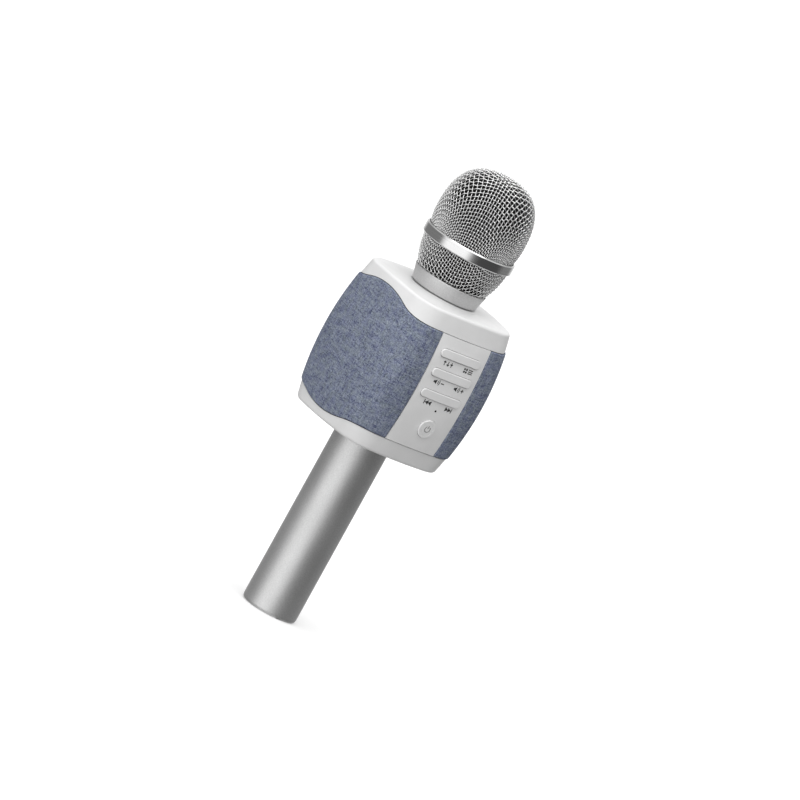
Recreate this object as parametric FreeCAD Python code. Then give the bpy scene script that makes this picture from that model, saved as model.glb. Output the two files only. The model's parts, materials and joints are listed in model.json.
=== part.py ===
import FreeCAD, Part
import math
import os
from FreeCAD import Vector

# Handheld karaoke microphone with a built-in speaker, in millimetres.
# +Z runs up the microphone's axis and the origin is the centre of the base.
# The control panel faces -Y and the two loudspeakers face -X and +X.

# ---- driving dimensions ----------------------------------------------------
HANDLE_R = 16.0
HANDLE_WALL = 1.5
BASE_H = 1.9
BODY_Z0 = 109.2
BODY_Z1 = 195.2
SIDE_HALF = 41.2
BARREL_R = 212.0
CROWN_R = 140.0
CORNER_R = 17.4
SEAM_Z0 = 119.4
SEAM_Z1 = 185.0
HUMP_TOP = 5.9
HUMP_BOTTOM = 5.0
HUMP_HALF = 36.0
PANEL_HALF = 17.7
RING_R = 26.65
RING_Z0 = 222.8
RING_Z1 = 228.9
DOME_R = 26.6
DOME_Z = 238.6
DOME_RISE = 31.1
DOME_POWER = 2.55

# ---- wall thicknesses and gaps ---------------------------------------------
SEAM_GAP = 0.35
FABRIC_T = 0.9
CAP_INSET = 0.7
CAP_WALL = 2.0
PANEL_INSET = 0.3
PANEL_T = 2.0
HOUSING_INSET = 1.0
HOUSING_INNER = 3.0
HOUSING_WALL = 1.8
ROOF_T = 2.3
EDGE_ROUND = 2.0
LID_RISE = 1.65
LID_REACH = 52.0
MESH_T = 1.2
FOAM_GAP = 0.25
FOAM_T = 2.6
WIRE_R = 0.6

# ---- controls ----------------------------------------------------------------
ROCKER_LENGTH = 28.4
ROCKER_HEIGHT = 4.8
ROCKER_PROUD = 0.9
ROCKER_CLEAR = 0.27
ROCKER_HEIGHTS = {"rocker_effect_mode": 175.4, "rocker_volume": 164.0, "rocker_track": 151.5}
PIVOT_DEPTH = 3.6
PIVOT_R = 0.8
PIVOT_CLEAR = 0.06
POST_X = 10.5
POST_GAP = 0.6
POWER_R = 5.4
POWER_X = 2.0
POWER_Z = 133.0
LIGHT_R = 0.6
LIGHT_X = 1.0
LIGHT_Z = 143.9
BOARD_FRONT = -33.2
BOARD_T = 1.2
SWITCH_TOP = -35.5

# ---- neck and head -------------------------------------------------------------
NECK_R = 17.3
NECK_BORE = 9.0
NECK_FLANGE_R = 19.6
NECK_FLANGE_T = 1.6
COLLAR_Z0 = 196.95
COLLAR_Z1 = 205.8
COLLAR_BOTTOM_R = 19.3
COLLAR_TOP_R = 21.3
THREAD_CLEAR = 0.2
CAPSULE_R = 12.5
CAPSULE_Z1 = 229.0
CUP_R = 15.8
CUP_Z0 = 206.0
CUP_Z1 = 214.0
LEAD_HOLE_R = 3.0
CONE_START = (20.5, 204.9)
CONE_MIDDLE = (23.95, 214.0)
CONE_END = (25.4, 225.4)

# ---- handle core, battery and sockets --------------------------------------------
CORE_R = HANDLE_R - HANDLE_WALL - 0.25
CORE_Z0 = 15.0
CORE_Z1 = 114.0
BATTERY_R = 9.2
BATTERY_Z0 = 24.0
BATTERY_L = 65.0
CHANNEL_Y = 11.6
JACK_X = -5.5
JACK_BORE_R = 1.8
JACK_DEPTH = 12.0
SOCKET_X = 5.5
PORT_BOARD_Z = 13.8

# ---- loudspeakers ------------------------------------------------------------------
BAFFLE_X0 = 30.0
BAFFLE_X1 = 32.0
DRIVER_R = 22.0
DRIVER_HOLE_R = 19.2
GASKET_T = 0.4
CONE_R = 15.5

MID_Z = (BODY_Z0 + BODY_Z1) / 2
FAR = 60.0
CORNERS = [(-1, -1), (1, -1), (1, 1), (-1, 1)]
BOSS_XY = 26.5
BOSS_R = 3.7
SCREW_R = 1.3
BAFFLE_SCREW_Y = 21.0
BASE_SCREW_Y = 9.5
FLANGE_R = 21.0
FLANGE_SCREW_XY = 12.4
PANEL_POSTS = [(x, z) for z in (139.0, 157.7) for x in (-13.2, 13.2)]
PANEL_PEGS = [(x, z) for z in (121.6, 183.2) for x in (-12.0, 12.0)]
BRACKET_Z0 = 127.0
BRACKET_Z1 = 180.0


# ---- helpers -------------------------------------------------------------------------
def block(x0, x1, y0, y1, z0, z1):
    return Part.makeBox(x1 - x0, y1 - y0, z1 - z0, Vector(x0, y0, z0))


def disc(radius, z0, z1, x=0.0, y=0.0):
    return Part.makeCylinder(radius, z1 - z0, Vector(x, y, z0))


def ring(outer, inner, z0, z1, x=0.0, y=0.0):
    return disc(outer, z0, z1, x, y).cut(disc(inner, z0, z1, x, y))


def rod_x(radius, x0, x1, y, z):
    return Part.makeCylinder(radius, x1 - x0, Vector(x0, y, z), Vector(1, 0, 0))


def union(shapes):
    whole = shapes[0]
    for shape in shapes[1:]:
        whole = whole.fuse(shape)
    return whole.removeSplitter()


def lathe(outline):
    """Turns a closed outline of (radius, height) corners about the Z axis."""
    points = [Vector(r, 0, z) for r, z in outline]
    return lathe_edges([Part.makePolygon(points + points[:1])])


def lathe_edges(parts):
    face = Part.Face(Part.Wire([edge for part in parts for edge in part.Edges]))
    return face.revolve(Vector(0, 0, 0), Vector(0, 0, 1), 360)


def lathe_x(outline):
    """Turns a closed outline of (radius, distance along X) corners about the driver's own axis."""
    solid = lathe(outline)
    solid.rotate(Vector(0, 0, 0), Vector(0, 1, 0), 90)
    solid.translate(Vector(0, 0, MID_Z))
    return solid


def line(start, end):
    return Part.makeLine(Vector(start[0], 0, start[1]), Vector(end[0], 0, end[1]))


def turned_round_z(shape, degrees):
    copy = shape.copy()
    copy.rotate(Vector(0, 0, 0), Vector(0, 0, 1), degrees)
    return copy


def rounded_edges(solid, z, radius):
    """Rounds the outer edge of the flat face at height z."""
    edges = [e for e in solid.Edges if all(abs(v.Z - z) < 1e-4 for v in e.Vertexes)]
    return solid.makeFillet(radius, edges)


def save(name, shape):
    solids = shape.Solids
    if not solids or not shape.isValid() or min(s.Volume for s in solids) <= 0:
        raise ValueError(f"{name} is not made of sound solids")
    whole = solids[0] if len(solids) == 1 else Part.makeCompound(solids)
    whole.exportStep(f"parts/{name}.step")
    print(f"{name}: {len(solids)} solid(s), {sum(s.Volume for s in solids):.0f} mm3")


# ---- the speaker body's bowed, rounded-square shape -------------------------------------
def side_half(z):
    return SIDE_HALF - (BARREL_R - math.sqrt(BARREL_R**2 - (z - MID_Z) ** 2))


def arc(centre, radius, start, end, z):
    middle = (start + end) / 2
    points = [
        Vector(centre[0] + radius * math.cos(a), centre[1] + radius * math.sin(a), z)
        for a in (start, middle, end)
    ]
    return Part.Arc(*points).toShape()


def section(z, inset):
    """Four bowed sides joined by four tangent corner arcs, all taken in by inset."""
    side_centre = side_half(z) - CROWN_R
    reach = CROWN_R - CORNER_R
    corner = (side_centre + math.sqrt(2 * reach**2 - side_centre**2)) / 2
    lean = math.atan2(corner, corner - side_centre)
    edges = []
    for quarter in range(4):
        turn = quarter * math.pi / 2
        c, s = math.cos(turn), math.sin(turn)
        side_at = (side_centre * c, side_centre * s)
        corner_at = (corner * (c - s), corner * (s + c))
        edges.append(arc(side_at, CROWN_R - inset, turn - lean, turn + lean, z))
        edges.append(arc(corner_at, CORNER_R - inset, turn + lean, turn + math.pi / 2 - lean, z))
    return Part.Wire(edges)


def barrel(inset, top=BODY_Z1):
    steps = 6
    heights = [BODY_Z0 + (top - BODY_Z0) * i / steps for i in range(steps + 1)]
    return Part.makeLoft([section(z, inset) for z in heights], True, False)


def seam_block(seam_z, hump, far_z, gap):
    """All that lies beyond a cap's wavy edge, which swells over each loudspeaker."""
    way = 1 if far_z > seam_z else -1
    foot = seam_z + way * gap / 2
    crest = foot + way * hump
    half_way = HUMP_HALF / 2
    bend_r = (HUMP_HALF**2 + hump**2) / (4 * hump)
    half_turn = math.asin(half_way / bend_r) / 2
    dip_y = HUMP_HALF - bend_r * math.sin(half_turn)
    dip_z = foot + way * bend_r * (1 - math.cos(half_turn))
    middle = foot + way * hump / 2

    def at(y, z):
        return Vector(-FAR, y, z)

    edges = [
        Part.makeLine(at(-FAR, foot), at(-HUMP_HALF, foot)),
        Part.Arc(at(-HUMP_HALF, foot), at(-dip_y, dip_z), at(-half_way, middle)).toShape(),
        Part.Arc(at(-half_way, middle), at(0, crest), at(half_way, middle)).toShape(),
        Part.Arc(at(half_way, middle), at(dip_y, dip_z), at(HUMP_HALF, foot)).toShape(),
        Part.makeLine(at(HUMP_HALF, foot), at(FAR, foot)),
        Part.makeLine(at(FAR, foot), at(FAR, far_z)),
        Part.makeLine(at(FAR, far_z), at(-FAR, far_z)),
        Part.makeLine(at(-FAR, far_z), at(-FAR, foot)),
    ]
    return Part.Face(Part.Wire(edges)).extrude(Vector(2 * FAR, 0, 0))


def upper_seam(gap):
    return seam_block(SEAM_Z1, HUMP_TOP, BODY_Z1 + 10, gap)


def lower_seam(gap):
    return seam_block(SEAM_Z0, HUMP_BOTTOM, BODY_Z0 - 10, gap)


def between_seams(solid):
    return solid.cut(upper_seam(-SEAM_GAP)).cut(lower_seam(-SEAM_GAP))


# ---- places on the control panel -----------------------------------------------------------
def panel_frame(z):
    """Depth of the panel's outer face at height z, and its lean from upright in degrees."""
    depth = side_half(z) - PANEL_INSET
    lean = math.degrees(math.asin((z - MID_Z) / BARREL_R))
    return depth, lean


def on_panel(shape, z, x=0.0):
    """Moves a shape made at the origin, with -Y outwards, onto the panel at height z."""
    depth, lean = panel_frame(z)
    placed = shape.copy()
    placed.rotate(Vector(0, 0, 0), Vector(1, 0, 0), -lean)
    placed.translate(Vector(x, -depth, z))
    return placed


def pill(length, height, y0, y1):
    """A bar with round ends, along X, from depth y0 to y1."""
    half = length / 2 - height / 2
    r = height / 2
    edges = [
        Part.makeLine(Vector(-half, y0, -r), Vector(half, y0, -r)),
        Part.Arc(Vector(half, y0, -r), Vector(half + r, y0, 0), Vector(half, y0, r)).toShape(),
        Part.makeLine(Vector(half, y0, r), Vector(-half, y0, r)),
        Part.Arc(Vector(-half, y0, r), Vector(-half - r, y0, 0), Vector(-half, y0, -r)).toShape(),
    ]
    return Part.Face(Part.Wire(edges)).extrude(Vector(0, y1 - y0, 0))


def rod_y(radius, y0, y1, x=0.0, z=0.0):
    return Part.makeCylinder(radius, y1 - y0, Vector(x, y0, z), Vector(0, 1, 0))


def rod_z(radius, z0, z1, x, y):
    return Part.makeCylinder(radius, z1 - z0, Vector(x, y, z0))


# ---- speaker body: shells, cover and panel ------------------------------------------------------
def domed_lid():
    """The body's outside with its top very gently crowned, highest round the neck."""
    ball_r = (LID_REACH**2 + LID_RISE**2) / (2 * LID_RISE)
    ball = Part.makeSphere(ball_r, Vector(0, 0, BODY_Z1 + LID_RISE - ball_r))
    solid = barrel(CAP_INSET, BODY_Z1 + 2).common(ball)
    high = [e for e in solid.Edges if min(v.Z for v in e.Vertexes) > BODY_Z1 - 2]
    rim = [e for e in high if min(math.hypot(v.X, v.Y) for v in e.Vertexes) > 30]
    return solid.makeFillet(EDGE_ROUND, rim)


def make_top_cap():
    outer = domed_lid()
    inner = barrel(CAP_INSET + CAP_WALL)
    hollow = inner.common(block(-FAR, FAR, -FAR, FAR, BODY_Z0, BODY_Z1 - ROOF_T))
    shell = outer.cut(hollow).common(upper_seam(SEAM_GAP))
    seat = disc(NECK_FLANGE_R + 0.15, BODY_Z1, BODY_Z1 + LID_RISE + 1)
    return shell.cut(seat).cut(disc(NECK_R, BODY_Z1 - 5, BODY_Z1 + 1))


def make_bottom_cap():
    outer = rounded_edges(barrel(CAP_INSET), BODY_Z0, EDGE_ROUND)
    inner = barrel(CAP_INSET + CAP_WALL)
    hollow = inner.common(block(-FAR, FAR, -FAR, FAR, BODY_Z0 + ROOF_T, BODY_Z1))
    shell = outer.cut(hollow).common(lower_seam(SEAM_GAP))
    shell = shell.cut(disc(CORE_R + 0.2, BODY_Z0 - 1, BODY_Z0 + 5))
    for sx, sy in CORNERS:
        x, y = sx * BOSS_XY, sy * BOSS_XY
        shell = shell.cut(disc(SCREW_R + 0.2, BODY_Z0 - 1, BODY_Z0 + 5, x, y))
        shell = shell.cut(disc(2.8, BODY_Z0 - 1, BODY_Z0 + 1.1, x, y))
        x, y = sx * FLANGE_SCREW_XY, sy * FLANGE_SCREW_XY
        shell = shell.cut(disc(1.0, BODY_Z0 + 1.0, BODY_Z0 + 5, x, y))
    return shell


def make_denim_cover():
    skin = between_seams(barrel(0).cut(barrel(FABRIC_T)))
    opening = PANEL_HALF + SEAM_GAP
    return skin.cut(block(-opening, opening, -FAR, 0, BODY_Z0 - 1, BODY_Z1 + 1))


def grille_holes(side):
    """Rows of sound holes over one loudspeaker."""
    pitch, radius, rows = 5.2, 1.6, 3
    holes = []
    for row in range(-rows, rows + 1):
        count = 2 * rows + 1 - abs(row)
        for i in range(count):
            y = (i - (count - 1) / 2) * pitch
            z = MID_Z + row * pitch * math.sqrt(3) / 2
            start = 28.0 if side > 0 else -28.0 - 20.0
            holes.append(rod_x(radius, start, start + 20.0, y, z))
    return holes


def make_speaker_housing():
    inner_skin = barrel(HOUSING_INNER).common(block(-FAR, FAR, -FAR, FAR, 112.0, 192.4))
    raised_band = between_seams(barrel(HOUSING_INSET))
    front = block(-PANEL_HALF - 0.6, PANEL_HALF + 0.6, -FAR, 0, BODY_Z0, BODY_Z1)
    raised_band = raised_band.cut(front)
    shell = union([inner_skin, raised_band]).cut(barrel(HOUSING_INNER + HOUSING_WALL))
    shell = shell.cut(block(-PANEL_HALF + 1, PANEL_HALF - 1, -FAR, 0, 124.0, 181.5))
    added = []
    for sx, sy in CORNERS:
        boss = disc(BOSS_R, BODY_Z0 + ROOF_T, 124.0, sx * BOSS_XY, sy * BOSS_XY)
        added.append(boss.common(barrel(HOUSING_INNER + 1)))
        for z in (MID_Z - 21, MID_Z + 21):
            x0 = BAFFLE_X1 if sx > 0 else -BAFFLE_X1 - 5
            post = rod_x(2.6, x0, x0 + 5, sy * BAFFLE_SCREW_Y, z)
            added.append(post.common(barrel(HOUSING_INNER + 1)))
    for x0 in (-2.6, 1.1):
        rail = block(x0, x0 + 1.5, 25.0, FAR, 130.0, 174.0)
        added.append(rail.common(barrel(HOUSING_INNER + 1)))
    shell = union([shell] + added)
    for side in (-1, 1):
        shell = shell.cut(Part.makeCompound(grille_holes(side)))
    for sx, sy in CORNERS:
        shell = shell.cut(disc(SCREW_R, 111.0, 122.0, sx * BOSS_XY, sy * BOSS_XY))
        for z in (MID_Z - 21, MID_Z + 21):
            x0 = BAFFLE_X1 - 1 if sx > 0 else -BAFFLE_X1 - 3
            shell = shell.cut(rod_x(1.0, x0, x0 + 4, sy * BAFFLE_SCREW_Y, z))
    for x, z in PANEL_PEGS:
        shell = shell.cut(rod_y(1.05, -FAR, -30.0, x, z))
    return shell


def make_cap_screws():
    screws = []
    for sx, sy in CORNERS:
        x, y = sx * BOSS_XY, sy * BOSS_XY
        head = disc(2.5, BODY_Z0 + 0.2, BODY_Z0 + 1.1, x, y)
        slot = block(x - 1.6, x + 1.6, y - 0.25, y + 0.25, BODY_Z0, BODY_Z0 + 0.7)
        cross = block(x - 0.25, x + 0.25, y - 1.6, y + 1.6, BODY_Z0, BODY_Z0 + 0.7)
        shank = disc(SCREW_R, BODY_Z0 + 1.1, BODY_Z0 + 11.5, x, y)
        screws.append(union([head, shank]).cut(slot).cut(cross))
    return Part.makeCompound(screws)


def make_control_panel():
    slab = block(-PANEL_HALF, PANEL_HALF, -FAR, 0, SEAM_Z0 + SEAM_GAP / 2, SEAM_Z1 - SEAM_GAP / 2)
    panel = barrel(PANEL_INSET).cut(barrel(PANEL_INSET + PANEL_T)).common(slab)
    behind = barrel(PANEL_INSET + 1)
    posts = [rod_y(1.6, -FAR, BOARD_FRONT - 1.4, x, z).common(behind) for x, z in PANEL_POSTS]
    deepest = barrel(HOUSING_INNER + HOUSING_WALL)
    pegs = [rod_y(1.0, -FAR, -30.0, x, z).common(behind).cut(deepest) for x, z in PANEL_PEGS]
    panel = union([panel] + posts + pegs)
    for x, z in PANEL_POSTS:
        panel = panel.cut(rod_y(0.7, BOARD_FRONT - 4.4, -30.0, x, z))
    for z in ROCKER_HEIGHTS.values():
        grow = 2 * ROCKER_CLEAR
        hole = pill(ROCKER_LENGTH + grow, ROCKER_HEIGHT + grow, -4.0, 6.0)
        panel = panel.cut(on_panel(hole, z))
    panel = panel.cut(on_panel(rod_y(POWER_R + 0.2, -4.0, 6.0), POWER_Z, POWER_X))
    return panel.cut(on_panel(rod_y(LIGHT_R, -4.0, 6.0), LIGHT_Z, LIGHT_X))


# ---- controls -----------------------------------------------------------------------------------
def make_rocker(z):
    depth, _ = panel_frame(z)
    bar = on_panel(pill(ROCKER_LENGTH, ROCKER_HEIGHT, -3.0, 6.0), z)
    bar = bar.common(barrel(PANEL_INSET - ROCKER_PROUD)).cut(barrel(PANEL_INSET + 2.6))
    face = max(bar.Faces, key=lambda f: -f.CenterOfMass.y + 0.001 * f.Area)
    bar = bar.makeFillet(0.45, face.Edges)
    hub = block(-2.2, 2.2, 1.6, PIVOT_DEPTH + 0.8, -2.0, 2.0)
    trunnion = rod_z(PIVOT_R, -4.2, 4.2, 0.0, PIVOT_DEPTH)
    post_end = depth + SWITCH_TOP - POST_GAP
    posts = [rod_y(1.0, 2.0, post_end, x) for x in (-POST_X, POST_X)]
    works = [on_panel(shape, z) for shape in [hub, trunnion] + posts]
    return union([bar] + works)


def make_power_button():
    depth, _ = panel_frame(POWER_Z)
    stem_end = depth + SWITCH_TOP - POST_GAP - 0.1
    cap = rod_y(POWER_R, -0.95, 3.0)
    rim = max(cap.Edges, key=lambda e: -e.CenterOfMass.y)
    cap = cap.makeFillet(0.4, [rim])
    groove = rod_y(3.75, -1.5, -0.75).cut(rod_y(3.45, -1.5, -0.75))
    flange = rod_y(POWER_R + 1.1, 2.3, 3.1)
    stem = rod_y(1.2, 3.0, stem_end)
    return on_panel(union([cap, flange, stem]).cut(groove), POWER_Z, POWER_X)


def switch_places():
    """Where the key board's seven switches stand, as (x, z)."""
    rockers = [(x, z) for z in ROCKER_HEIGHTS.values() for x in (-POST_X, POST_X)]
    return rockers + [(POWER_X, POWER_Z)]


def make_key_bracket():
    plate = block(-15.5, 15.5, BOARD_FRONT - 1.4, BOARD_FRONT - 0.2, BRACKET_Z0, BRACKET_Z1)
    ears = []
    for z in ROCKER_HEIGHTS.values():
        depth, _ = panel_frame(z)
        for side in (-1, 1):
            low = min(side * 2.7, side * 4.4)
            ear = block(-2.0, 2.0, PIVOT_DEPTH - 1.0, depth + BOARD_FRONT - 0.8, low, low + 1.7)
            bore = rod_z(PIVOT_R + PIVOT_CLEAR, -6.0, 6.0, 0.0, PIVOT_DEPTH)
            ears.append(on_panel(ear.cut(bore), z))
    bracket = union([plate] + ears)
    for x, z in switch_places():
        bracket = bracket.cut(block(x - 2.6, x + 2.6, -36.0, -30.0, z - 2.6, z + 2.6))
    for x, z in PANEL_POSTS:
        bracket = bracket.cut(rod_y(0.85, -36.0, -30.0, x, z))
    return bracket.cut(block(LIGHT_X - 1.5, LIGHT_X + 1.5, -36.0, -30.0, LIGHT_Z - 1.5, LIGHT_Z + 1.5))


def make_key_board():
    board = block(-15.5, 15.5, BOARD_FRONT, BOARD_FRONT + BOARD_T, BRACKET_Z0, BRACKET_Z1)
    for x, z in PANEL_POSTS:
        board = board.cut(rod_y(0.85, -36.0, -30.0, x, z))
    return board


def make_panel_screws():
    back = BOARD_FRONT + BOARD_T
    shanks = [rod_y(0.7, BOARD_FRONT - 4.0, back, x, z) for x, z in PANEL_POSTS]
    heads = [rod_y(1.5, back, back + 1.0, x, z) for x, z in PANEL_POSTS]
    return Part.makeCompound([union([shank, head]) for shank, head in zip(shanks, heads)])


def make_tact_switches():
    switches = []
    for x, z in switch_places():
        case = block(x - 2.2, x + 2.2, BOARD_FRONT - 1.6, BOARD_FRONT, z - 2.2, z + 2.2)
        plunger = rod_y(1.1, SWITCH_TOP, BOARD_FRONT - 1.5, x, z)
        switches.append(union([case, plunger]))
    return Part.makeCompound(switches)


def make_status_light():
    depth, _ = panel_frame(LIGHT_Z)
    pipe = rod_y(LIGHT_R, -0.05, PANEL_T + 0.4)
    foot = rod_y(1.0, PANEL_T + 0.4, depth + BOARD_FRONT - 0.2)
    return on_panel(union([pipe, foot]), LIGHT_Z, LIGHT_X)


# ---- loudspeakers, made facing +X and turned round for the other side --------------------------
def make_baffle():
    plate = block(BAFFLE_X0, BAFFLE_X1, -26.0, 26.0, MID_Z - 26, MID_Z + 26)
    plate = plate.common(barrel(HOUSING_INNER + HOUSING_WALL + 0.3))
    plate = plate.cut(rod_x(DRIVER_HOLE_R, 29, 33, 0, MID_Z))
    for sy in (-1, 1):
        for sz in (-1, 1):
            plate = plate.cut(rod_x(1.2, 29, 33, sy * BAFFLE_SCREW_Y, MID_Z + sz * 21))
    return plate


def make_baffle_screws():
    screws = []
    for sy in (-1, 1):
        for sz in (-1, 1):
            y, z = sy * BAFFLE_SCREW_Y, MID_Z + sz * 21
            shank = rod_x(1.0, BAFFLE_X0, BAFFLE_X1 + 2.5, y, z)
            screws.append(union([rod_x(2.1, BAFFLE_X0 - 1.4, BAFFLE_X0, y, z), shank]))
    return Part.makeCompound(screws)


def make_gasket():
    x1 = BAFFLE_X0
    x0 = x1 - GASKET_T
    return lathe_x([(DRIVER_HOLE_R, x0), (DRIVER_R, x0), (DRIVER_R, x1), (DRIVER_HOLE_R, x1)])


def make_basket():
    front = BAFFLE_X0 - GASKET_T
    outline = [
        (18.4, front), (DRIVER_R, front), (DRIVER_R, front - 1.4), (19.8, front - 1.4),
        (13.4, 16.2), (4.7, 16.2), (4.7, 17.0), (12.6, 17.0), (18.4, front - 1.9),
    ]
    basket = lathe_x(outline)
    for turn in range(4):
        angle = math.radians(45 + 90 * turn)
        y, z = 15.6 * math.sin(angle), MID_Z + 15.6 * math.cos(angle)
        basket = basket.cut(rod_x(2.6, 15.0, 27.2, y, z))
    return basket


def make_top_plate():
    return lathe_x([(4.7, 14.2), (11.0, 14.2), (11.0, 16.2), (4.7, 16.2)])


def make_magnet():
    return lathe_x([(6.2, 10.2), (12.0, 10.2), (12.0, 14.2), (6.2, 14.2)])


def make_yoke():
    return lathe_x([(0, 8.6), (11.6, 8.6), (11.6, 10.2), (3.9, 10.2), (3.9, 16.4), (0, 16.4)])


def make_cone():
    """Cone, dust cap and rolled surround, which move as one."""
    outline = [
        (0, 21.6), (2.6, 21.2), (4.8, 20.2), (5.2, 19.6), (CONE_R - 0.4, 26.6), (CONE_R + 0.4, 27.3),
        (16.5, 27.0), (16.8, 26.2), (16.5, 26.0), (CONE_R + 0.4, 26.8), (CONE_R - 0.2, 26.0), (4.5, 18.6),
        (4.5, 19.4), (2.6, 20.7), (0, 21.1),
    ]
    return lathe_x(outline)


def make_voice_coil():
    return lathe_x([(4.15, 11.4), (4.5, 11.4), (4.5, 18.6), (4.15, 18.6)])


def make_pair(name, maker):
    right = maker()
    save(f"right_{name}", right)
    save(f"left_{name}", turned_round_z(right, 180))


def make_both(maker):
    right = maker()
    return Part.makeCompound(right.Solids + turned_round_z(right, 180).Solids)


# ---- electronics --------------------------------------------------------------------------------
def make_main_board():
    return block(-0.8, 0.8, -20.0, 34.0, 122.0, 182.0)


def make_board_parts():
    parts = [
        block(0.8, 3.0, 4.0, 18.0, 168.5, 179.0),
        block(0.8, 2.2, -12.0, -5.0, 167.0, 174.0),
        block(0.8, 4.6, -17.0, -11.0, 124.0, 131.0),
        block(-2.4, -0.8, -10.0, 4.0, 124.0, 132.0),
        block(-3.4, -0.8, 12.0, 20.0, 168.0, 176.0),
        block(-2.2, 2.2, 9.4, 13.8, 119.6, 122.0),
        block(-2.2, 2.2, -2.2, 2.2, 182.0, 184.4),
    ]
    cans = [rod_x(2.6, 0.8, 6.2, y, 127.5) for y in (4.0, 11.0, 18.0)]
    return Part.makeCompound(parts + cans)


def make_speaker_leads():
    y, z = 14.5, MID_Z + 14.5
    end = BAFFLE_X0 - GASKET_T - 1.4
    pair = [rod_x(WIRE_R, 0.8, end, y, z), rod_x(WIRE_R, 0.8, end, y, MID_Z - 14.5)]
    return Part.makeCompound(pair)


def make_riser_leads():
    return Part.makeCompound([disc(WIRE_R, PORT_BOARD_Z + 1.2, 119.6, x, CHANNEL_Y) for x in (-0.7, 0.7)])


def make_capsule_leads():
    return Part.makeCompound([disc(WIRE_R, 184.4, 208.6, x, 0.0) for x in (-0.7, 0.7)])


# ---- handle -------------------------------------------------------------------------------------
def stood_up(shape):
    """Turns a shape that runs along +Y to run along +Z, its width along Y, at the charging socket."""
    shape.rotate(Vector(0, 0, 0), Vector(1, 0, 0), 90)
    shape.rotate(Vector(0, 0, 0), Vector(0, 0, 1), 90)
    shape.translate(Vector(SOCKET_X, 0, 0))
    return shape


def make_handle_tube():
    return ring(HANDLE_R, HANDLE_R - HANDLE_WALL, BASE_H, BODY_Z0 - 0.1)


def make_base_cap():
    rim = HANDLE_R - 0.1
    plug_r = HANDLE_R - HANDLE_WALL - 0.1
    bend = BASE_H - 0.2
    round_z = bend * (1 - math.cos(math.pi / 4))
    upper = [(rim, bend), (rim, BASE_H), (plug_r, BASE_H), (plug_r, 11.5), (plug_r - 1.6, 11.5)]
    upper += [(plug_r - 1.6, 3.2), (0, 3.2), (0, 0), (rim - bend, 0)]
    cap = lathe_edges([
        arc_rz((rim - bend, 0), (rim - round_z, round_z), (rim, bend)),
        Part.makePolygon([Vector(r, 0, z) for r, z in upper]),
    ])
    cap = cap.cut(disc(3.6, -1, 4, JACK_X, 0))
    cap = cap.cut(stood_up(pill(9.6, 4.0, -1.0, 5.0)))
    for y in (-BASE_SCREW_Y, BASE_SCREW_Y):
        cap = cap.cut(disc(1.2, -1, 4, 0, y)).cut(disc(2.2, -1, 1.2, 0, y))
    notch = block(-1.5, 1.5, -rim - 1, -rim + 1.2, -1, 0.9)
    return cap.cut(turned_round_z(notch, -12.5))


def make_base_screws():
    screws = []
    for y in (-BASE_SCREW_Y, BASE_SCREW_Y):
        head = disc(2.0, 0.3, 1.2, 0, y)
        shank = disc(1.0, 1.2, 20.5, 0, y)
        slot = block(-1.3, 1.3, y - 0.2, y + 0.2, 0, 0.8)
        cross = block(-0.2, 0.2, y - 1.3, y + 1.3, 0, 0.8)
        screws.append(union([head, shank]).cut(slot).cut(cross))
    return Part.makeCompound(screws)


def make_audio_jack():
    case = block(JACK_X - 3.2, JACK_X + 3.2, -3.4, 3.4, 3.4, PORT_BOARD_Z)
    nose = disc(3.2, 0.9, 3.4, JACK_X, 0)
    return union([case, nose]).cut(disc(JACK_BORE_R, 0, 0.9 + JACK_DEPTH, JACK_X, 0))


def make_charge_socket():
    """Charging socket: a metal shell with round ends and a thin contact tongue inside."""
    shell = pill(8.9, 3.2, 0.8, PORT_BOARD_Z)
    hollow = pill(8.3, 2.6, 0.0, 8.0)
    tongue = block(-3.0, 3.0, 2.0, 8.2, -0.35, 0.35)
    return stood_up(union([shell.cut(hollow), tongue]))


def make_port_board():
    board = disc(12.6, PORT_BOARD_Z, CORE_Z0)
    for y in (-BASE_SCREW_Y, BASE_SCREW_Y):
        board = board.cut(disc(1.2, PORT_BOARD_Z - 1, CORE_Z0 + 1, 0, y))
    return board


def half_core(side):
    """One half of the plastic core that holds the battery and carries the handle."""
    core = union([disc(CORE_R, CORE_Z0, CORE_Z1), disc(FLANGE_R, BODY_Z0 + ROOF_T, CORE_Z1)])
    core = core.cut(disc(BATTERY_R + 0.2, BATTERY_Z0 - 1.2, BATTERY_Z0 + BATTERY_L + 1.2))
    core = core.cut(disc(6.0, CORE_Z0 - 1, CORE_Z1 + 1))
    core = core.cut(disc(1.9, CORE_Z0 - 1, CORE_Z1 + 1, 0, CHANNEL_Y))
    for y in (-BASE_SCREW_Y, BASE_SCREW_Y):
        core = core.cut(disc(1.0, CORE_Z0 - 1, 21.0, 0, y))
    for sx, sy in CORNERS:
        core = core.cut(disc(1.2, BODY_Z0, CORE_Z1 + 1, sx * FLANGE_SCREW_XY, sy * FLANGE_SCREW_XY))
    gap = 0.05
    if side < 0:
        return core.common(block(-FAR, FAR, -FAR, -gap, 0, CORE_Z1 + 1))
    return core.common(block(-FAR, FAR, gap, FAR, 0, CORE_Z1 + 1))


def make_battery():
    cell = disc(BATTERY_R, BATTERY_Z0, BATTERY_Z0 + BATTERY_L - 0.8)
    button = disc(2.8, BATTERY_Z0 + BATTERY_L - 0.8, BATTERY_Z0 + BATTERY_L)
    return union([cell, button])


def make_battery_pads():
    top = BATTERY_Z0 + BATTERY_L
    return Part.makeCompound([
        ring(BATTERY_R, 4.0, BATTERY_Z0 - 1.2, BATTERY_Z0),
        ring(BATTERY_R, 4.0, top - 0.8, top + 1.2),
    ])


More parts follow.
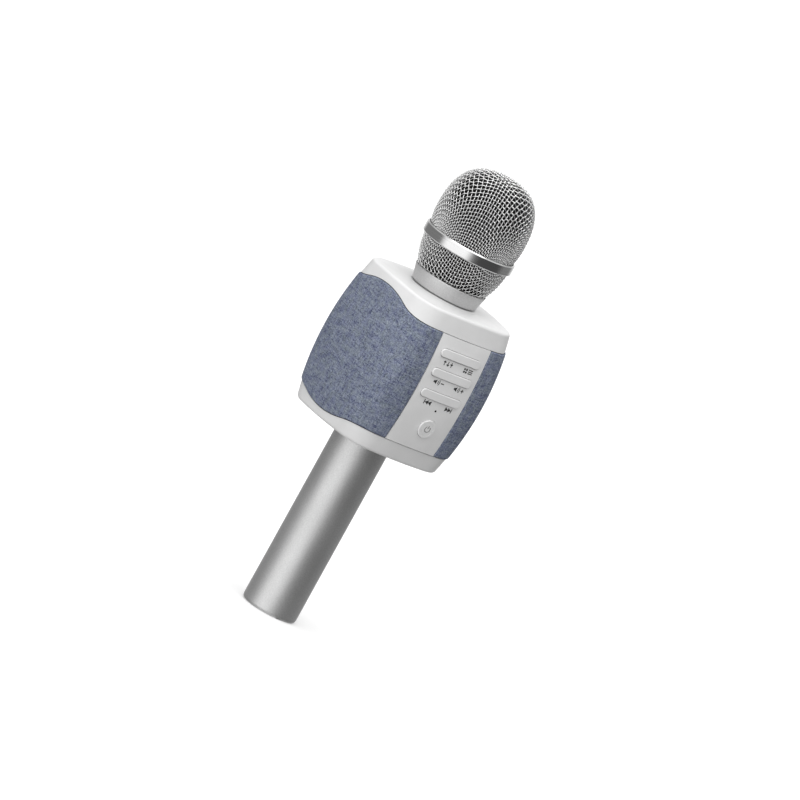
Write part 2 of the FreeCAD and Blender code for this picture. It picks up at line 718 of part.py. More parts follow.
def make_core_screws():
    """Four screws that hold the core's flange to the bottom cap's floor."""
    screws = []
    for sx, sy in CORNERS:
        x, y = sx * FLANGE_SCREW_XY, sy * FLANGE_SCREW_XY
        head = disc(2.2, CORE_Z1, CORE_Z1 + 1.4, x, y)
        shank = disc(1.0, BODY_Z0 + 1.2, CORE_Z1, x, y)
        screws.append(union([head, shank]))
    return Part.makeCompound(screws)


# ---- neck, capsule and head ---------------------------------------------------------------------
def make_neck_socket():
    z = BODY_Z1
    rim = NECK_FLANGE_R
    outline = [
        (NECK_BORE, z - 6.0), (NECK_R - 0.3, z - 6.0), (NECK_R - 0.3, z), (rim, z),
        (rim, z + NECK_FLANGE_T - 0.4), (rim - 0.4, z + NECK_FLANGE_T), (NECK_R, z + NECK_FLANGE_T),
        (NECK_R, 205.4), (NECK_R - 0.6, 206.0), (NECK_BORE, 206.0),
    ]
    return lathe(outline)


def make_neck_nut():
    return ring(22.5, NECK_R - 0.3, BODY_Z1 - 5.4, BODY_Z1 - ROOF_T)


def make_capsule_cup():
    outer, inner = CUP_R, CUP_R - 1.4
    return lathe([
        (LEAD_HOLE_R, CUP_Z0), (outer, CUP_Z0), (outer, CUP_Z1), (inner, CUP_Z1),
        (inner, CUP_Z0 + 1.6), (LEAD_HOLE_R, CUP_Z0 + 1.6),
    ])


def make_shock_mount():
    """A rubber ring with a rim that rests on the cup's edge and keeps the capsule off it."""
    inner = CUP_R - 1.4
    rim = inner + 1.0
    top = CUP_Z1 + 2.0
    return lathe([
        (CAPSULE_R, CUP_Z0 + 3), (inner, CUP_Z0 + 3), (inner, CUP_Z1),
        (rim, CUP_Z1), (rim, top), (CAPSULE_R, top),
    ])


def make_capsule_body():
    return disc(CAPSULE_R, CUP_Z0 + 2.6, CAPSULE_Z1)


def make_capsule_grille():
    side = CAPSULE_R + 0.8
    roof = CAPSULE_Z1 + 4.4
    cap = lathe([
        (CAPSULE_R, CAPSULE_Z1 - 4), (side, CAPSULE_Z1 - 4), (side, roof - 0.8), (side - 0.9, roof),
        (0, roof), (0, roof - 1.0), (CAPSULE_R, roof - 1.0),
    ])
    for count, radius in ((6, 4.5), (12, 8.8)):
        for i in range(count):
            angle = 2 * math.pi * i / count
            x, y = radius * math.cos(angle), radius * math.sin(angle)
            cap = cap.cut(disc(1.2, roof - 2, roof + 1, x, y))
    return cap


def dome_outline(shrink):
    """Points up the dome from below its widest ring to its crown, taken in by shrink."""
    steps = 14
    points = [(DOME_R - shrink - 1.2 * ((DOME_Z - z) / 9.3) ** 2, z) for z in (226.8, 230.0, 233.5)]
    for i in range(steps + 1):
        angle = math.pi / 2 * i / steps
        r = (DOME_R - shrink) * math.cos(angle) ** (2 / DOME_POWER)
        z = DOME_Z + (DOME_RISE - shrink) * math.sin(angle) ** (2 / DOME_POWER)
        points.append((0.0 if i == steps else r, z))
    return points


def curve(points):
    spline = Part.BSplineCurve()
    spline.interpolate([Vector(r, 0, z) for r, z in points])
    return spline.toShape()


def arc_rz(start, middle, end):
    return Part.Arc(*[Vector(r, 0, z) for r, z in (start, middle, end)]).toShape()


def make_upper_grille():
    outer = dome_outline(0)
    inner = dome_outline(MESH_T)
    return lathe_edges([curve(outer), line(outer[-1], inner[-1]), curve(inner), line(inner[0], outer[0])])


def cone_arc(shrink):
    points = [(r - shrink, z) for r, z in (CONE_START, CONE_MIDDLE, CONE_END)]
    return arc_rz(*points), points


def make_lower_grille():
    outer, outer_points = cone_arc(0)
    inner, inner_points = cone_arc(MESH_T)
    return lathe_edges([
        outer, line(outer_points[2], inner_points[2]), inner, line(inner_points[0], outer_points[0]),
    ])


def make_windscreen_foam():
    shrink = MESH_T + FOAM_GAP
    outer = [(19.6, 206.6), (23.4 - shrink, 214.0), (24.8 - shrink, 222.0)]
    inner = [(r - FOAM_T, z) for r, z in outer]
    outer += dome_outline(shrink)
    inner += dome_outline(shrink + FOAM_T)
    return lathe_edges([curve(outer), line(outer[-1], inner[-1]), curve(inner), line(inner[0], outer[0])])


def make_grille_ring():
    lip = RING_R - 0.6
    inside = 25.6
    outline = [
        (inside, RING_Z0), (lip, RING_Z0), (RING_R, RING_Z0 + 0.6), (RING_R, RING_Z1 - 0.6), (lip, RING_Z1),
        (inside, RING_Z1), (inside, 226.7), (24.1, 226.7), (24.1, 225.5), (inside, 225.5),
    ]
    return lathe(outline)


def make_head_collar():
    bore = NECK_R + THREAD_CLEAR
    lip = COLLAR_TOP_R - 0.35
    r0, r1 = COLLAR_BOTTOM_R, COLLAR_TOP_R
    skirt = arc_rz((r0 - 1.1, COLLAR_Z0), (r0 - 0.3, COLLAR_Z0 + 0.35), (r0 + 0.1, COLLAR_Z0 + 1.3))
    return lathe_edges([
        line((bore, COLLAR_Z0), (r0 - 1.1, COLLAR_Z0)),
        skirt,
        line((r0 + 0.1, COLLAR_Z0 + 1.3), (r1, COLLAR_Z1 - 0.3)),
        line((r1, COLLAR_Z1 - 0.3), (r1 - 0.15, COLLAR_Z1)),
        line((r1 - 0.15, COLLAR_Z1), (lip, COLLAR_Z1)),
        line((lip, COLLAR_Z1), (lip, COLLAR_Z1 - 1)),
        line((lip, COLLAR_Z1 - 1), (bore, COLLAR_Z1 - 1)),
        line((bore, COLLAR_Z1 - 1), (bore, COLLAR_Z0)),
    ])


# ---- build ----------------------------------------------------------------------------------------
def main():
    os.makedirs("parts", exist_ok=True)
    single = {
        "handle_tube": make_handle_tube,
        "base_cap": make_base_cap,
        "base_screws": make_base_screws,
        "audio_jack": make_audio_jack,
        "charge_socket": make_charge_socket,
        "port_board": make_port_board,
        "battery_cell": make_battery,
        "battery_pads": make_battery_pads,
        "core_screws": make_core_screws,
        "riser_leads": make_riser_leads,
        "bottom_cap": make_bottom_cap,
        "top_cap": make_top_cap,
        "denim_cover": make_denim_cover,
        "speaker_housing": make_speaker_housing,
        "cap_screws": make_cap_screws,
        "control_panel": make_control_panel,
        "power_button": make_power_button,
        "key_bracket": make_key_bracket,
        "key_board": make_key_board,
        "panel_screws": make_panel_screws,
        "tact_switches": make_tact_switches,
        "status_light": make_status_light,
        "main_board": make_main_board,
        "board_parts": make_board_parts,
        "capsule_leads": make_capsule_leads,
        "neck_socket": make_neck_socket,
        "neck_nut": make_neck_nut,
        "capsule_cup": make_capsule_cup,
        "shock_mount": make_shock_mount,
        "capsule_body": make_capsule_body,
        "capsule_grille": make_capsule_grille,
        "upper_grille": make_upper_grille,
        "lower_grille": make_lower_grille,
        "grille_ring": make_grille_ring,
        "head_collar": make_head_collar,
        "windscreen_foam": make_windscreen_foam,
    }
    for name, maker in single.items():
        save(name, maker())
    for name, z in ROCKER_HEIGHTS.items():
        save(name, make_rocker(z))
    save("core_front", half_core(-1))
    save("core_back", half_core(1))
    pairs = {
        "baffle": make_baffle,
        "driver_gasket": make_gasket,
        "driver_basket": make_basket,
        "driver_top_plate": make_top_plate,
        "driver_magnet": make_magnet,
        "driver_yoke": make_yoke,
        "speaker_cone": make_cone,
        "voice_coil": make_voice_coil,
    }
    for name, maker in pairs.items():
        make_pair(name, maker)
    save("baffle_screws", make_both(make_baffle_screws))
    save("speaker_leads", make_both(make_speaker_leads))


main()
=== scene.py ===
# %% [markdown]
# # A karaoke microphone, piece by piece
#
# The hard parts of this microphone (its metal handle, plastic caps, keys and collar) come ready made
# from the engineering model. This lesson adds what such a model leaves out: the woven wire of the head,
# the foam behind it, the denim round the speaker body, the printed signs on the control panel, and a
# finish for every surface. Lengths are in metres, +Z runs up the microphone, and the control panel
# looks along -Y.

# %% Load the engineering model
import json
import math

import bpy
import numpy as np
from mathutils import Matrix, Vector


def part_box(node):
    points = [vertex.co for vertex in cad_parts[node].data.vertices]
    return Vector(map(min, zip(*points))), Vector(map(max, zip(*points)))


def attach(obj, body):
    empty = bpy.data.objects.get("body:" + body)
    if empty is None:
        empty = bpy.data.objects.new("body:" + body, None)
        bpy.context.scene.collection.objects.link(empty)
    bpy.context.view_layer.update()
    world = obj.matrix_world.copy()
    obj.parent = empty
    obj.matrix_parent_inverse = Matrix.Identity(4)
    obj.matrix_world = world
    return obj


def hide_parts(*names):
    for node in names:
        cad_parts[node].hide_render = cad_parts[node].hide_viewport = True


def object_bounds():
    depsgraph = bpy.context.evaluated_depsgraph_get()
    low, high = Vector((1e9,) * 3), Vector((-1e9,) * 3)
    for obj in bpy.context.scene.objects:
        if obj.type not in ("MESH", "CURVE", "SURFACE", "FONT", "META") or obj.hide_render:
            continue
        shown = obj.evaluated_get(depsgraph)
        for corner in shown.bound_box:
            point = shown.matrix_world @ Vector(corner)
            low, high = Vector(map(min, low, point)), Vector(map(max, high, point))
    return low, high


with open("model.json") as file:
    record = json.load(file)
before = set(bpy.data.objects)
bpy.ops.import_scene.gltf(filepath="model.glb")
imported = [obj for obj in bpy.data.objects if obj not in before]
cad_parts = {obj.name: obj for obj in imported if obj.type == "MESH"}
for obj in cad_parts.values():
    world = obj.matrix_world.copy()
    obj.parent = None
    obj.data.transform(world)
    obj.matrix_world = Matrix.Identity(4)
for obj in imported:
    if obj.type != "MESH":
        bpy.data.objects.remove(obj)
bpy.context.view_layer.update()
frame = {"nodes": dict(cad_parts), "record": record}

# %% [markdown]
# ## Camera
#
# A product picture is taken from far away with a long lens, so that parallel edges stay parallel. The
# camera stands in front of the corner between the panel and the left loudspeaker, a little above, and is
# rolled so that the microphone leans to the right. It is built from its three directions: back, right
# and up.

# %% Camera
VIEW_AZIMUTH = math.radians(-40.0)
VIEW_ELEVATION = math.radians(9.5)
VIEW_ROLL = math.radians(29.0)
VIEW_WIDTH = 0.430
LOOK_RIGHT = 0.0064
LOOK_DOWN = 0.0036
LENS_MM = 1200.0
SENSOR_MM = 36.0


def toward(azimuth, elevation):
    """The direction from the object to someone at that azimuth and elevation."""
    level = math.cos(elevation)
    return Vector((math.sin(azimuth) * level, -math.cos(azimuth) * level, math.sin(elevation)))


back = toward(VIEW_AZIMUTH, VIEW_ELEVATION)
level_right = Vector((math.cos(VIEW_AZIMUTH), math.sin(VIEW_AZIMUTH), 0.0))
level_up = back.cross(level_right)
right = level_right * math.cos(VIEW_ROLL) + level_up * math.sin(VIEW_ROLL)
up = back.cross(right)
low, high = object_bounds()
middle = Vector((0.0, 0.0, (low[2] + high[2]) / 2))
target = middle + right * LOOK_RIGHT - up * LOOK_DOWN
distance = VIEW_WIDTH * LENS_MM / SENSOR_MM

camera_data = bpy.data.cameras.new("camera")
camera_data.lens = LENS_MM
camera_data.sensor_width = SENSOR_MM
camera_data.clip_end = 200.0
camera = bpy.data.objects.new("camera", camera_data)
bpy.context.scene.collection.objects.link(camera)
axes = Matrix((right, up, back)).transposed().to_4x4()
camera.matrix_world = Matrix.Translation(target + back * distance) @ axes
bpy.context.scene.camera = camera
print("camera at", [round(c, 3) for c in camera.location])

# %% [markdown]
# ## Small helpers
#
# `node` adds one shader node and either sets or wires up its inputs, so that a material reads like a
# recipe. `deselect`, `only` and `settle` keep operators to the piece that is meant.

# %% Helpers
def node(material, kind, settings=None, **inputs):
    """Adds a shader node; an input given a socket is linked, anything else is set.

    An input is named as in the node editor, or by its number as i0, i1 and so on."""
    tree = material.node_tree
    made = tree.nodes.new("ShaderNode" + kind)
    for name, value in (settings or {}).items():
        setattr(made, name, value)
    for name, value in inputs.items():
        socket = made.inputs[int(name[1:])] if name[0] == "i" and name[1:].isdigit() else made.inputs[name]
        if isinstance(value, bpy.types.NodeSocket):
            tree.links.new(value, socket)
        else:
            socket.default_value = value
    return made


def calc(material, operation, a, b=0.0, c=0.0):
    """One arithmetic step on numbers or sockets."""
    return node(material, "Math", {"operation": operation}, i0=a, i1=b, i2=c).outputs[0]


def blend_colour(material, amount, first, second):
    """The first colour where amount is 0, the second where it is 1."""
    made = node(material, "Mix", {"data_type": "RGBA"}, i0=amount, i6=first, i7=second)
    return made.outputs[2]


def ramp(material, value, low_at, high_at, low_to=0.0, high_to=1.0):
    """Runs from low_to to high_to while the value runs from low_at to high_at, and stops there."""
    made = node(material, "MapRange", None, Value=value)
    made.inputs["From Min"].default_value = low_at
    made.inputs["From Max"].default_value = high_at
    made.inputs["To Min"].default_value = low_to
    made.inputs["To Max"].default_value = high_to
    return made.outputs["Result"]


def start_material(name, roughness=0.5, metallic=0.0, **shader_values):
    """A new material and its Principled shader, with plain values set on the shader's own sockets."""
    material = bpy.data.materials.new(name)
    material.use_nodes = True
    shader = material.node_tree.nodes["Principled BSDF"]
    shader.inputs["Roughness"].default_value = roughness
    shader.inputs["Metallic"].default_value = metallic
    for key, value in shader_values.items():
        shader.inputs[key.replace("_", " ")].default_value = value
    return material, shader


def wire_up(material, shader, **sockets):
    """Links a recipe's results to the shader."""
    for key, socket in sockets.items():
        material.node_tree.links.new(socket, shader.inputs[key.replace("_", " ")])
    return material


def noise(material, coords, scale, detail=2.0, stretch=None):
    """Soft noise from about 0 to 1, with `scale` blobs to the metre."""
    if stretch:
        coords = node(material, "Mapping", None, Vector=coords, Scale=stretch).outputs[0]
    return node(material, "TexNoise", None, Vector=coords, Scale=scale, Detail=detail).outputs["Fac"]


def bump(material, height, strength, distance_m):
    """A normal that makes the surface look as if it stood up by height times distance_m."""
    return node(material, "Bump", None, Height=height, Strength=strength, Distance=distance_m).outputs[0]


def object_coords(material):
    return node(material, "TexCoord").outputs["Object"]


def deselect():
    if bpy.context.object and bpy.context.object.mode != "OBJECT":
        bpy.ops.object.mode_set(mode="OBJECT")
    bpy.ops.object.select_all(action="DESELECT")


def only(piece):
    deselect()
    piece.select_set(True)
    bpy.context.view_layer.objects.active = piece
    return piece


def settle(piece, name, material):
    """Names a finished piece, puts its place into its mesh and gives it its finish."""
    only(piece)
    bpy.ops.object.transform_apply(location=True, rotation=True, scale=True)
    piece.name = name
    piece.data.name = name
    piece.data.materials.clear()
    piece.data.materials.append(material)
    print(name, "has", len(piece.data.polygons), "faces")
    return piece


def mend_normals(piece):
    """Joins vertices that lie on each other and turns every face outwards."""
    only(piece)
    bpy.ops.object.mode_set(mode="EDIT")
    bpy.ops.mesh.select_all(action="SELECT")
    bpy.ops.mesh.remove_doubles(threshold=1e-6)
    bpy.ops.mesh.normals_make_consistent(inside=False)
    bpy.ops.object.mode_set(mode="OBJECT")


def join(pieces):
    """Makes one piece of several."""
    only(pieces[0])
    for piece in pieces:
        piece.select_set(True)
    bpy.ops.object.join()
    return bpy.context.object


# %% [markdown]
# ## Floor and light
#
# The picture wants a seamless pale ground and soft light. A broad lamp overhead whitens the floor. The
# walls of the studio do the rest. They are painted with three smooth patches that depend only on the
# compass direction: a wide bright panel in front and a little to the left, a black flag to its right,
# and a pale panel behind. The first draws the bright band down the handle, the flag draws the dark side
# of the chrome ring, and the last keeps the back from going dull. The ceiling is bright, the low ground
# is grey, and straight below there is a bright spot that picks out the rim of the foot. The object is
# lit as if it were held in the air: the floor takes its shadow, but neither mirrors in it nor throws
# light back up at it, as a photographer arranges with grey cards.

# %% Floor and light
FLOOR_SIZE = 80.0
deselect()
bpy.ops.mesh.primitive_plane_add(size=FLOOR_SIZE, location=(0, 0, low[2]))
floor_paint, floor_shader = start_material("floor_paper", roughness=0.9)
floor_tone = ramp(floor_paint, noise(floor_paint, object_coords(floor_paint), 3.0), 0.3, 0.7, 0.94, 0.95)
wire_up(floor_paint, floor_shader, Base_Color=floor_tone)
floor_shader.inputs["Specular IOR Level"].default_value = 0.1
floor_shader.inputs["Emission Color"].default_value = (1.0, 1.0, 1.0, 1.0)
floor_shader.inputs["Emission Strength"].default_value = 0.1
floor = settle(bpy.context.object, "floor", floor_paint)
floor.visible_glossy = False
floor.visible_diffuse = False

lamp_data = bpy.data.lights.new("overhead", "SUN")
lamp_data.energy = 1.3
lamp_data.angle = math.radians(50.0)
lamp = bpy.data.objects.new("overhead", lamp_data)
bpy.context.scene.collection.objects.link(lamp)
lamp.location = (0.0, 0.0, 2.0)
lamp.rotation_euler = toward(VIEW_AZIMUTH, math.radians(80.0)).to_track_quat("Z", "Y").to_euler()

WALL_TONE = 0.28
# A patch is its compass offset from the camera, its half-width and the softness of its edge, in degrees.
BRIGHT_PANEL = (-25.0, 36.0, 9.0)
BLACK_FLAG = (64.0, 36.0, 8.0)
BACK_PANEL = (180.0, 28.0, 10.0)
PANEL_TONE = 1.6
FLAG_TONE = 0.09
BACK_TONE = 0.95
CEILING_TONE = 0.95
GROUND_TONE = 0.32
NADIR_TONE = 1.1
world = bpy.data.worlds.new("pale_studio")
bpy.context.scene.world = world
world.use_nodes = True
sky = node(world, "TexCoord").outputs["Generated"]
compass = node(world, "VectorMath", {"operation": "MULTIPLY"}, i0=sky, i1=(1.0, 1.0, 0.0)).outputs[0]
compass = node(world, "VectorMath", {"operation": "NORMALIZE"}, i0=compass).outputs[0]
height = node(world, "SeparateXYZ", None, Vector=sky).outputs[2]


def wall_patch(offset, half_width, softness):
    """1 within half_width of the compass direction that lies offset from the camera's, else 0."""
    aim = toward(VIEW_AZIMUTH + math.radians(offset), 0.0)
    facing = node(world, "VectorMath", {"operation": "DOT_PRODUCT"}, i0=compass, i1=aim).outputs["Value"]
    outer = math.cos(math.radians(half_width + softness))
    inner = math.cos(math.radians(half_width - softness))
    return ramp(world, facing, outer, inner)


def toward_tone(tone, amount, goal):
    """The tone moved by amount (0 to 1) towards the goal."""
    step = calc(world, "MULTIPLY", calc(world, "SUBTRACT", goal, tone), amount)
    return calc(world, "ADD", tone, step)


tone = ramp(world, wall_patch(*BRIGHT_PANEL), 0.0, 1.0, WALL_TONE, PANEL_TONE)
flag = calc(world, "MULTIPLY", wall_patch(*BLACK_FLAG), ramp(world, height, 0.28, 0.06))
tone = toward_tone(tone, flag, FLAG_TONE)
tone = toward_tone(tone, wall_patch(*BACK_PANEL), BACK_TONE)
tone = toward_tone(tone, ramp(world, height, 0.20, 0.75), CEILING_TONE)
tone = toward_tone(tone, ramp(world, height, -0.30, -0.75), GROUND_TONE)
tone = toward_tone(tone, ramp(world, height, -0.80, -0.92), NADIR_TONE)
world.node_tree.links.new(tone, world.node_tree.nodes["Background"].inputs["Color"])
bpy.context.scene.view_settings.view_transform = "Standard"

# %% [markdown]
# ## Moulded plastic and lacquer
#
# The caps are warm white plastic with a very fine grain; the panel and its keys are a light grey satin.
# Both are one recipe: a base tone that wanders a little, a roughness that wanders too, and a bump of
# about a tenth of a millimetre wavelength.

# %% Plastic recipe
def moulded(name, tone, roughness, grain_scale=4200.0, grain=0.05):
    """Plastic, rubber, paper and the like: a wandering tone under a fine grain."""
    material, shader = start_material(name, roughness)
    coords = object_coords(material)
    slow = noise(material, coords, 60.0, 3.0)
    fine = noise(material, coords, grain_scale, 2.0)
    darker = [c * 0.96 for c in tone] + [1.0]
    lighter = [min(1.0, c * 1.03) for c in tone] + [1.0]
    colour = blend_colour(material, ramp(material, slow, 0.35, 0.65), darker, lighter)
    rough = ramp(material, slow, 0.3, 0.7, roughness - 0.03, roughness + 0.04)
    normal = bump(material, fine, grain, 0.0001)
    return wire_up(material, shader, Base_Color=colour, Roughness=rough, Normal=normal)


shell_plastic = moulded("shell_plastic", (0.80, 0.80, 0.80), 0.42)
panel_plastic = moulded("panel_plastic", (0.84, 0.84, 0.84), 0.38)
black_plastic = moulded("black_plastic", (0.018, 0.018, 0.019), 0.5)
chip_black = moulded("chip_black", (0.022, 0.022, 0.024), 0.6)
light_pipe = moulded("light_pipe", (0.012, 0.012, 0.013), 0.2)
cell_wrap = moulded("cell_wrap", (0.04, 0.13, 0.35), 0.3)
board_green = moulded("board_green", (0.01, 0.11, 0.035), 0.35)
rubber = moulded("rubber", (0.02, 0.02, 0.02), 0.75, 1500.0, 0.2)
paper_cone = moulded("paper_cone", (0.025, 0.025, 0.028), 0.85, 900.0, 0.4)
ferrite = moulded("ferrite", (0.05, 0.05, 0.052), 0.7, 1800.0, 0.3)
print("plastics ready")

# %% [markdown]
# ## Metal
#
# The handle is satin silver, sprayed or blasted, so its grain has no direction. The ring round the head
# is turned on a lathe, so its grain is a set of fine rings: noise that is squeezed hard along Z. The
# wires are drawn and plated, nearly smooth.

# %% Metal recipes
def grained_metal(name, tone, roughness, grain_scale, grain, stretch=None, metallic=1.0):
    """Metal with a speckled grain, or a grain of fine lines where stretch squeezes it one way."""
    material, shader = start_material(name, roughness, metallic)
    coords = object_coords(material)
    fine = noise(material, coords, grain_scale, 3.0, stretch)
    slow = noise(material, coords, 35.0, 2.0)
    darker = [c * 0.93 for c in tone] + [1.0]
    lighter = [min(1.0, c * 1.05) for c in tone] + [1.0]
    colour = blend_colour(material, ramp(material, fine, 0.35, 0.65), darker, lighter)
    rough = ramp(material, slow, 0.3, 0.7, roughness - 0.03, roughness + 0.03)
    normal = bump(material, fine, grain, 0.00005)
    return wire_up(material, shader, Base_Color=colour, Roughness=rough, Normal=normal)


silver_lacquer = grained_metal("silver_lacquer", (0.62, 0.62, 0.62), 0.50, 1500.0, 0.6, None, 0.9)
collar_lacquer = grained_metal("collar_lacquer", (0.64, 0.64, 0.64), 0.45, 1500.0, 0.6, None, 0.9)
ring_chrome = grained_metal("ring_chrome", (0.60, 0.60, 0.60), 0.17, 60.0, 0.3, (1.0, 1.0, 160.0))
grille_wire = grained_metal("grille_wire", (0.90, 0.90, 0.90), 0.20, 2200.0, 0.1)
screw_steel = grained_metal("screw_steel", (0.45, 0.45, 0.46), 0.35, 2000.0, 0.2)
connector_steel = grained_metal("connector_steel", (0.6, 0.6, 0.6), 0.25, 2000.0, 0.1)
driver_steel = grained_metal("driver_steel", (0.08, 0.08, 0.085), 0.45, 1500.0, 0.3)
copper = grained_metal("copper", (0.75, 0.36, 0.2), 0.35, 300.0, 0.5, (1.0, 1.0, 40.0))
print("metals ready")

# %% [markdown]
# ## Foam
#
# The foam lining is open-cell and nearly black. Cells of about half a millimetre come from a Voronoi
# pattern: its cell centres are deep and its walls stand up.

# %% Foam recipe
def make_foam():
    material, shader = start_material("foam", 1.0, Specular_IOR_Level=0.15)
    coords = object_coords(material)
    cells = node(material, "TexVoronoi", None, Vector=coords, Scale=1900.0).outputs["Distance"]
    slow = noise(material, coords, 140.0, 3.0)
    patches = ramp(material, slow, 0.3, 0.7)
    tone = blend_colour(material, patches, (0.003, 0.003, 0.003, 1), (0.012, 0.012, 0.012, 1))
    return wire_up(material, shader, Base_Color=tone, Normal=bump(material, cells, 0.9, 0.0003))


foam = make_foam()
print("foam ready")

# %% [markdown]
# ## Denim
#
# The cloth is a blue-grey plain weave: blue threads run up the body, paler ones run round it, and each
# goes over one and under the next. The recipe counts threads along the cloth's own directions (its UV
# map, in metres), finds which thread lies on top of each little square, and rounds its back for the
# bump. Every thread has its own tone, and thick, pale stretches (slubs) run along it. Together with
# wider patches where the dye took unevenly they give the cloth its heather.

# %% Denim recipe
THREAD = 0.00048


def thread_tone(material, across, along, seed):
    """A tone for each thread, with darker and paler stretches along it."""
    which = calc(material, "FLOOR", across)
    own = node(material, "TexWhiteNoise", {"noise_dimensions": "2D"})
    place = node(material, "CombineXYZ", None, X=which, Y=seed).outputs[0]
    material.node_tree.links.new(place, own.inputs["Vector"])
    tones = calc(material, "MULTIPLY", own.outputs["Value"], 0.15)
    for width, length, weight in ((0.55, 0.09, 0.45), (0.80, 0.35, 0.40)):
        stretched = node(material, "CombineXYZ", None, X=calc(material, "MULTIPLY", across, width),
                         Y=calc(material, "MULTIPLY", along, length), Z=seed + width).outputs[0]
        slub = node(material, "TexNoise", None, Vector=stretched, Scale=1.0, Detail=1.0).outputs["Fac"]
        slub = calc(material, "MULTIPLY", ramp(material, slub, 0.40, 0.60), weight)
        tones = calc(material, "ADD", tones, slub)
    return tones


def thread_back(material, across):
    """Height of a round thread across its own width."""
    inside = calc(material, "SUBTRACT", calc(material, "FRACT", across), 0.5)
    squared = calc(material, "MULTIPLY", inside, inside)
    return calc(material, "SQRT", calc(material, "SUBTRACT", 0.27, squared))


def make_denim():
    material, shader = start_material("denim", 0.9, Specular_IOR_Level=0.3)
    uv = node(material, "UVMap", {"uv_map": "cloth"}).outputs[0]
    parts = node(material, "SeparateXYZ", None, Vector=uv)
    wobble = calc(material, "MULTIPLY", noise(material, uv, 260.0, 2.0), 0.9)
    u = calc(material, "ADD", calc(material, "DIVIDE", parts.outputs[0], THREAD), wobble)
    v = calc(material, "ADD", calc(material, "DIVIDE", parts.outputs[1], THREAD), wobble)
    step = calc(material, "ADD", calc(material, "FLOOR", u), calc(material, "FLOOR", v))
    cross_on_top = calc(material, "LESS_THAN", calc(material, "FLOORED_MODULO", step, 2.0), 0.5)
    blue = blend_colour(material, thread_tone(material, u, v, 3.0),
                        (0.008, 0.014, 0.062, 1), (0.29, 0.34, 0.50, 1))
    pale = blend_colour(material, thread_tone(material, v, u, 11.0),
                        (0.022, 0.034, 0.090, 1), (0.46, 0.51, 0.60, 1))
    colour = blend_colour(material, cross_on_top, blue, pale)
    dye = ramp(material, noise(material, uv, 110.0, 3.0), 0.35, 0.68, 0.0, 0.30)
    colour = blend_colour(material, dye, colour, (0.20, 0.235, 0.29, 1))
    tint = ramp(material, noise(material, uv, 290.0, 2.0), 0.40, 0.62)
    tint = blend_colour(material, tint, (0.085, 0.085, 0.20, 1), (0.27, 0.31, 0.28, 1))
    colour = blend_colour(material, 0.22, colour, tint)
    flecks = noise(material, uv, 1150.0, 1.0)
    pale_flecks = ramp(material, flecks, 0.58, 0.70, 0.0, 0.35)
    colour = blend_colour(material, pale_flecks, colour, (0.52, 0.57, 0.62, 1))
    dark_flecks = ramp(material, flecks, 0.42, 0.32, 0.0, 0.35)
    colour = blend_colour(material, dark_flecks, colour, (0.012, 0.016, 0.055, 1))
    blue_on_top = calc(material, "SUBTRACT", 1.0, cross_on_top)
    blue_back = calc(material, "MULTIPLY", thread_back(material, u), blue_on_top)
    pale_back = calc(material, "MULTIPLY", thread_back(material, v), cross_on_top)
    height = calc(material, "ADD", blue_back, pale_back)
    fuzz = noise(material, uv, 9000.0, 2.0)
    height = calc(material, "ADD", height, calc(material, "MULTIPLY", fuzz, 0.25))
    return wire_up(material, shader, Base_Color=colour, Normal=bump(material, height, 0.7, 0.0002))


denim = make_denim()
print("denim ready")

# %% [markdown]
# ## Woven wire
#
# The head is pressed from plain woven wire: wires run both ways, over one and under the next. Here the
# weave is counted on a flat sheet, in cells, and each wire is laid on the head as a curve that waves in
# and out of its surface. `Spread` holds how the flat sheet lies on a round shape: how many rows of
# cells reach each height, and how much the columns gather on the four faces of the square weave.

# %% Weave helpers
WIRE_D = 0.00045
WEAVE_RISE = 0.00038
POINTS_PER_CELL = 3
grille_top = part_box("upper_grille")[1][2]
grille_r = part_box("upper_grille")[1][0]
lower_low, lower_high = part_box("lower_grille")


class Spread:
    """Lays the flat weave on a round surface given as points (radius, height) with rows at each.

    way is -1 when the points run down the surface and 1 when they run up it."""

    def __init__(self, radius, height, rows, gather, way=1.0):
        run = np.hypot(np.diff(radius), np.diff(height))
        self.s = np.concatenate([[0.0], np.cumsum(run)])
        self.radius, self.height = radius, height
        self.rows = rows(self.s)
        self.gather = gather(self.s)
        self.out_r = np.gradient(height, self.s) * way
        self.out_z = -np.gradient(radius, self.s) * way

    def at(self, x, y, rise):
        """Points on the head over flat cells (x, y), lifted by rise along the outward normal."""
        row = np.hypot(x, y)
        want = np.arctan2(x, y)
        turn = want.copy()
        pull = np.interp(row, self.rows, self.gather)
        for _ in range(12):
            turn = want - pull * np.sin(4 * turn) / 4
        r = np.interp(row, self.rows, self.radius) + rise * np.interp(row, self.rows, self.out_r)
        z = np.interp(row, self.rows, self.height) + rise * np.interp(row, self.rows, self.out_z)
        angle = turn + VIEW_AZIMUTH
        return np.stack([r * np.sin(angle), -r * np.cos(angle), z], axis=1)


def wire_spans(line, inner_row, outer_row):
    """Where the weave's line number `line` runs between two rows, as (from, to) in cells."""
    if abs(line) >= outer_row:
        return []
    far = math.sqrt(outer_row**2 - line**2)
    if abs(line) >= inner_row:
        return [(-far, far)]
    near = math.sqrt(inner_row**2 - line**2)
    return [(-far, -near), (near, far)]


